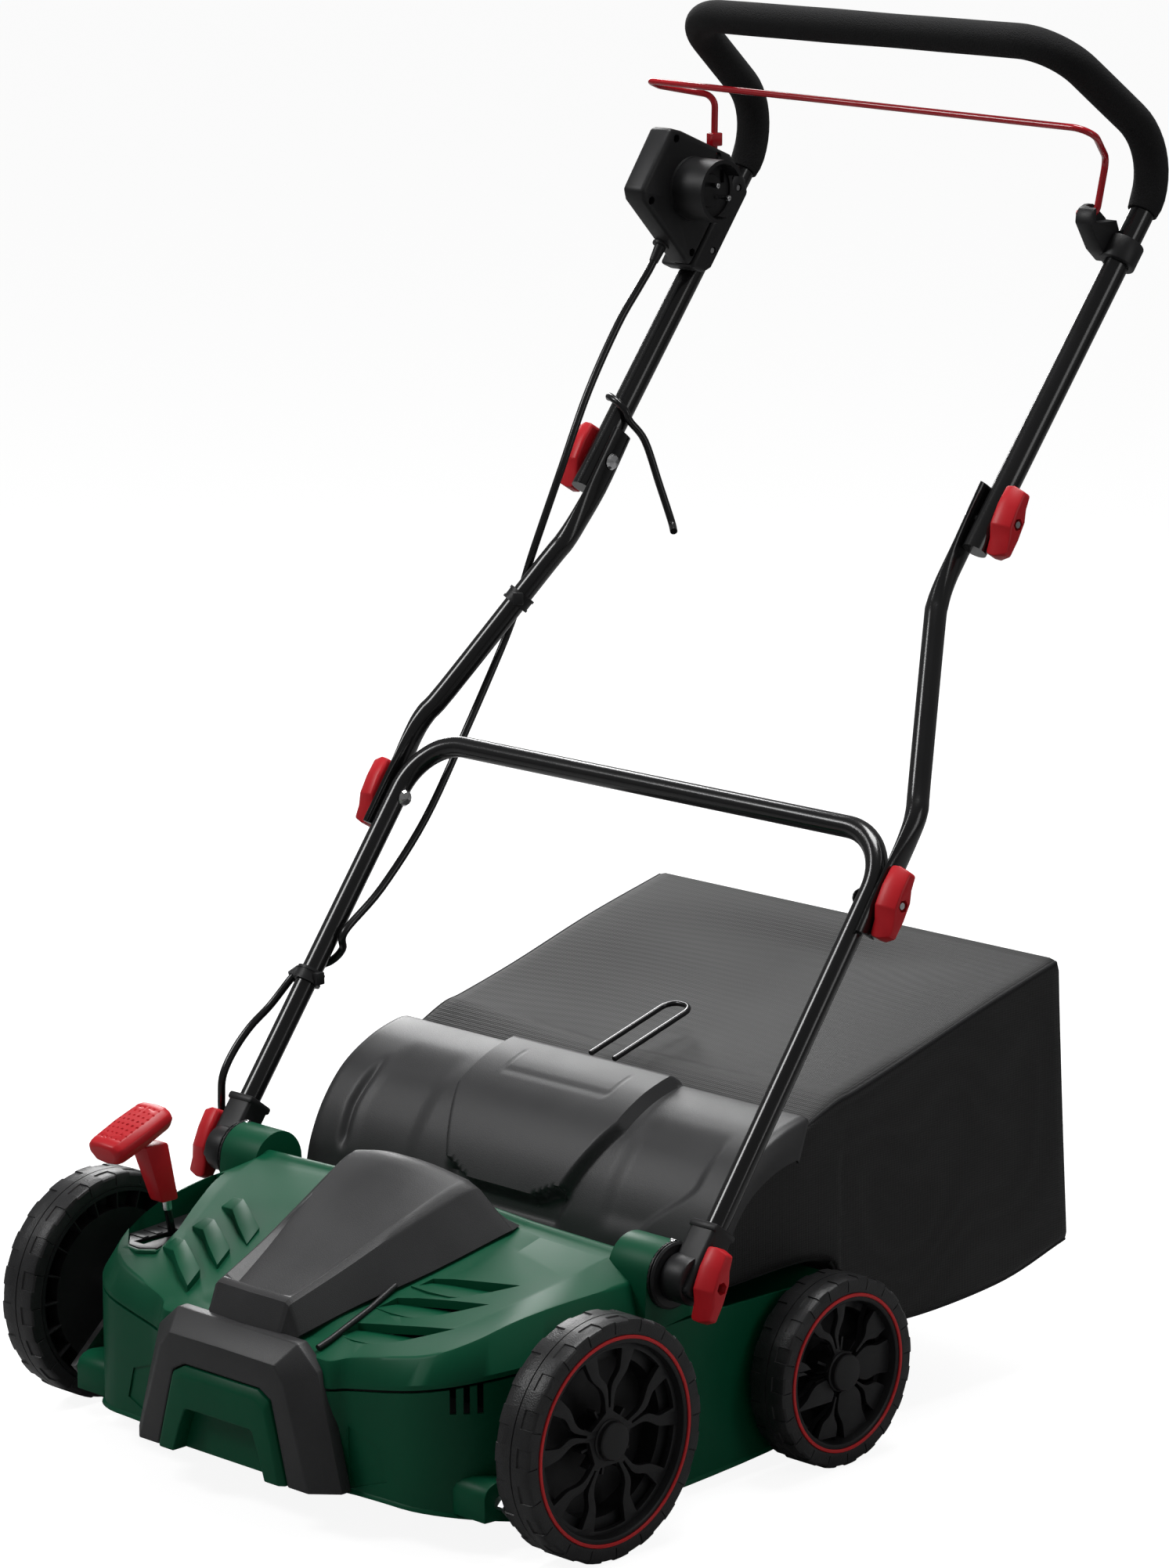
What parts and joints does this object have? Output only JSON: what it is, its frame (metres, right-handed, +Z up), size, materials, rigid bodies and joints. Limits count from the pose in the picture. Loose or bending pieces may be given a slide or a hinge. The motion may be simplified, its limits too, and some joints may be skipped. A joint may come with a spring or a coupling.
{
  "type": "electric lawn dethatcher",
  "caption": "Walk-behind electric lawn raking machine with a bladed roller under a moulded deck, a folding tube handle with a start bail, a depth lever and a rear catch bag.",
  "frame": {"origin": "on the ground, under the centre of the whole object's box", "axes": "+Z up, -Y towards the front of the machine, +X towards the side away from the switch box"},
  "size_m": [0.636, 0.9028, 1.1705],
  "materials": {
    "green_plastic": "moulded, fine satin grain",
    "dark_plastic": "moulded, satin",
    "black_plastic": "moulded, satin",
    "red_plastic": "moulded, glossy",
    "tyre_rubber": "hard moulded tread, satin",
    "foam": "closed-cell foam, matte",
    "tube_paint": "powder coat, glossy",
    "red_paint": "plastic-coated wire, glossy",
    "steel": "zinc plated",
    "bag_mesh": "woven mesh",
    "belt_rubber": "matte",
    "lead_rubber": "smooth sheath"
  },
  "bodies": {
    "deck": {"lower_deck": "green_plastic", "upper_deck": "green_plastic", "depth_gate_plate": "black_plastic", "motor_hood": "dark_plastic", "front_trim": "dark_plastic", "front_insert": "green_plastic", "tunnel_cover": "black_plastic", "motor_can": "steel", "drive_belt": "belt_rubber", "roller_bearing_left": "steel", "roller_bearing_right": "steel", "rear_axle": "steel", "ratchet_disc_left": "black_plastic", "ratchet_disc_right": "black_plastic", "flap_hinge_pin": "steel", "flap_spring": "steel", "power_lead": "lead_rubber"},
    "front_crank": {"front_crank_axle": "steel"},
    "depth_lever": {"depth_lever_rod": "tube_paint", "depth_lever_handle": "red_plastic"},
    "roller": {"scarifier_roller": "steel", "driven_pulley": "black_plastic"},
    "rotor": {"motor_shaft_and_pulley": "steel"},
    "flap": {"rear_flap": "dark_plastic"},
    "bag": {"catch_bag": "bag_mesh", "bag_handle_loop": "tube_paint"},
    "lower_handle": {"lower_handle_bow": "tube_paint", "bow_bracket_left": "black_plastic", "bow_bracket_right": "black_plastic", "mid_joint_bolt_left": "steel", "mid_joint_bolt_right": "steel", "cable_clip_lower": "black_plastic"},
    "mid_handle": {"mid_tube_left": "tube_paint", "mid_tube_right": "tube_paint", "upper_joint_bolt_left": "steel", "upper_joint_bolt_right": "steel", "cable_clip_upper": "black_plastic"},
    "upper_handle": {"upper_handle_tube": "tube_paint", "foam_grip": "foam", "switch_box_body": "black_plastic", "switch_box_clamp": "black_plastic", "inlet_contacts": "steel", "bail_bearing_clip": "black_plastic"},
    "bail": {"start_bail": "red_paint"},
    "lock": {"lock_button": "red_plastic"},
    "hook": {"cable_hook": "black_plastic"},
    "lower_knob_left": {"lower_knob_left": "red_plastic"},
    "lower_knob_right": {"lower_knob_right": "red_plastic"},
    "mid_knob_left": {"mid_knob_left": "red_plastic"},
    "mid_knob_right": {"mid_knob_right": "red_plastic"},
    "upper_knob_left": {"upper_knob_left": "red_plastic"},
    "upper_knob_right": {"upper_knob_right": "red_plastic"},
    "front_wheel_left": {"front_wheel_left_tyre": "tyre_rubber", "front_wheel_left_rim": "black_plastic"},
    "front_wheel_right": {"front_wheel_right_tyre": "tyre_rubber", "front_wheel_right_rim": "black_plastic"},
    "rear_wheel_left": {"rear_wheel_left_tyre": "tyre_rubber", "rear_wheel_left_rim": "black_plastic"},
    "rear_wheel_right": {"rear_wheel_right_tyre": "tyre_rubber", "rear_wheel_right_rim": "black_plastic"}
  },
  "joints": [
    {"name": "handle_fold", "type": "hinge", "parent": "deck", "child": "lower_handle", "pos_m": [0, -0.1854, 0.197], "axis": [1, 0, 0], "range_deg": [-11, 105], "deforming": ["power_lead"]},
    {"name": "mid_fold", "type": "hinge", "parent": "lower_handle", "child": "mid_handle", "pos_m": [0, 0.0256, 0.478], "axis": [-1, 0, 0], "range_deg": [-30, 60]},
    {"name": "upper_fold", "type": "hinge", "parent": "mid_handle", "child": "upper_handle", "pos_m": [0, 0.2301, 0.763], "axis": [1, 0, 0], "range_deg": [-30, 128]},
    {"name": "bail_swing", "type": "hinge", "parent": "upper_handle", "child": "bail", "pos_m": [0, 0.3756, 1.008], "axis": [-1, 0, 0], "range_deg": [0, 18], "stiffness_Nm_per_rad": 2, "springref_deg": -14.32},
    {"name": "lock_press", "type": "slide", "parent": "upper_handle", "child": "lock", "axis": [1, 0, 0], "range_m": [0, 0.004], "stiffness_N_per_m": 300, "springref_m": -0.001},
    {"name": "hook_turn", "type": "hinge", "parent": "upper_handle", "child": "hook", "pos_m": [-0.23, 0.2596, 0.8], "axis": [-0.0087, 0.6205, 0.7842], "range_deg": [-15, 15]},
    {"name": "crank_turn", "type": "hinge", "parent": "deck", "child": "front_crank", "pos_m": [0, -0.3724, 0.047], "axis": [1, 0, 0], "range_deg": [-2.2, 5.6]},
    {"name": "depth_lever_swing", "type": "hinge", "parent": "deck", "child": "depth_lever", "pos_m": [-0.194, -0.3204, 0.06], "axis": [1, 0, 0], "range_deg": [-5.5, 14]},
    {"name": "roller_spin", "type": "hinge", "parent": "deck", "child": "roller", "pos_m": [0, -0.2174, 0.06], "axis": [1, 0, 0], "continuous": true},
    {"name": "rotor_spin", "type": "hinge", "parent": "deck", "child": "rotor", "pos_m": [0, -0.2824, 0.14], "axis": [1, 0, 0], "continuous": true},
    {"name": "flap_lift", "type": "hinge", "parent": "deck", "child": "flap", "pos_m": [0, -0.1364, 0.166], "axis": [1, 0, 0], "range_deg": [0, 43], "stiffness_Nm_per_rad": 1, "springref_deg": -22.92},
    {"name": "bag_draw", "type": "slide", "parent": "deck", "child": "bag", "axis": [0, 1, 0], "range_m": [0, 0.35]},
    {"name": "lower_knob_left_turn", "type": "hinge", "parent": "deck", "child": "lower_knob_left", "pos_m": [-0.3, -0.1854, 0.197], "axis": [1, 0, 0], "continuous": true},
    {"name": "lower_knob_right_turn", "type": "hinge", "parent": "deck", "child": "lower_knob_right", "pos_m": [0.3, -0.1854, 0.197], "axis": [1, 0, 0], "continuous": true},
    {"name": "mid_knob_left_turn", "type": "hinge", "parent": "lower_handle", "child": "mid_knob_left", "pos_m": [-0.31, 0.0256, 0.478], "axis": [1, 0, 0], "continuous": true},
    {"name": "mid_knob_right_turn", "type": "hinge", "parent": "lower_handle", "child": "mid_knob_right", "pos_m": [0.31, 0.0256, 0.478], "axis": [1, 0, 0], "continuous": true},
    {"name": "upper_knob_left_turn", "type": "hinge", "parent": "mid_handle", "child": "upper_knob_left", "pos_m": [-0.256, 0.2301, 0.763], "axis": [1, 0, 0], "continuous": true},
    {"name": "upper_knob_right_turn", "type": "hinge", "parent": "mid_handle", "child": "upper_knob_right", "pos_m": [0.256, 0.2301, 0.763], "axis": [1, 0, 0], "continuous": true},
    {"name": "front_wheel_left_spin", "type": "hinge", "parent": "front_crank", "child": "front_wheel_left", "pos_m": [-0.2975, -0.3124, 0.1], "axis": [1, 0, 0], "continuous": true},
    {"name": "front_wheel_right_spin", "type": "hinge", "parent": "front_crank", "child": "front_wheel_right", "pos_m": [0.2975, -0.3124, 0.1], "axis": [1, 0, 0], "continuous": true},
    {"name": "rear_wheel_left_spin", "type": "hinge", "parent": "deck", "child": "rear_wheel_left", "pos_m": [-0.277, -0.0124, 0.0815], "axis": [1, 0, 0], "continuous": true},
    {"name": "rear_wheel_right_spin", "type": "hinge", "parent": "deck", "child": "rear_wheel_right", "pos_m": [0.277, -0.0124, 0.0815], "axis": [1, 0, 0], "continuous": true}
  ],
  "couplings": [
    {"joint": "depth_lever_swing", "follows": "crank_turn", "ratio": 2.5},
    {"joint": "rotor_spin", "follows": "roller_spin", "ratio": 2}
  ]
}
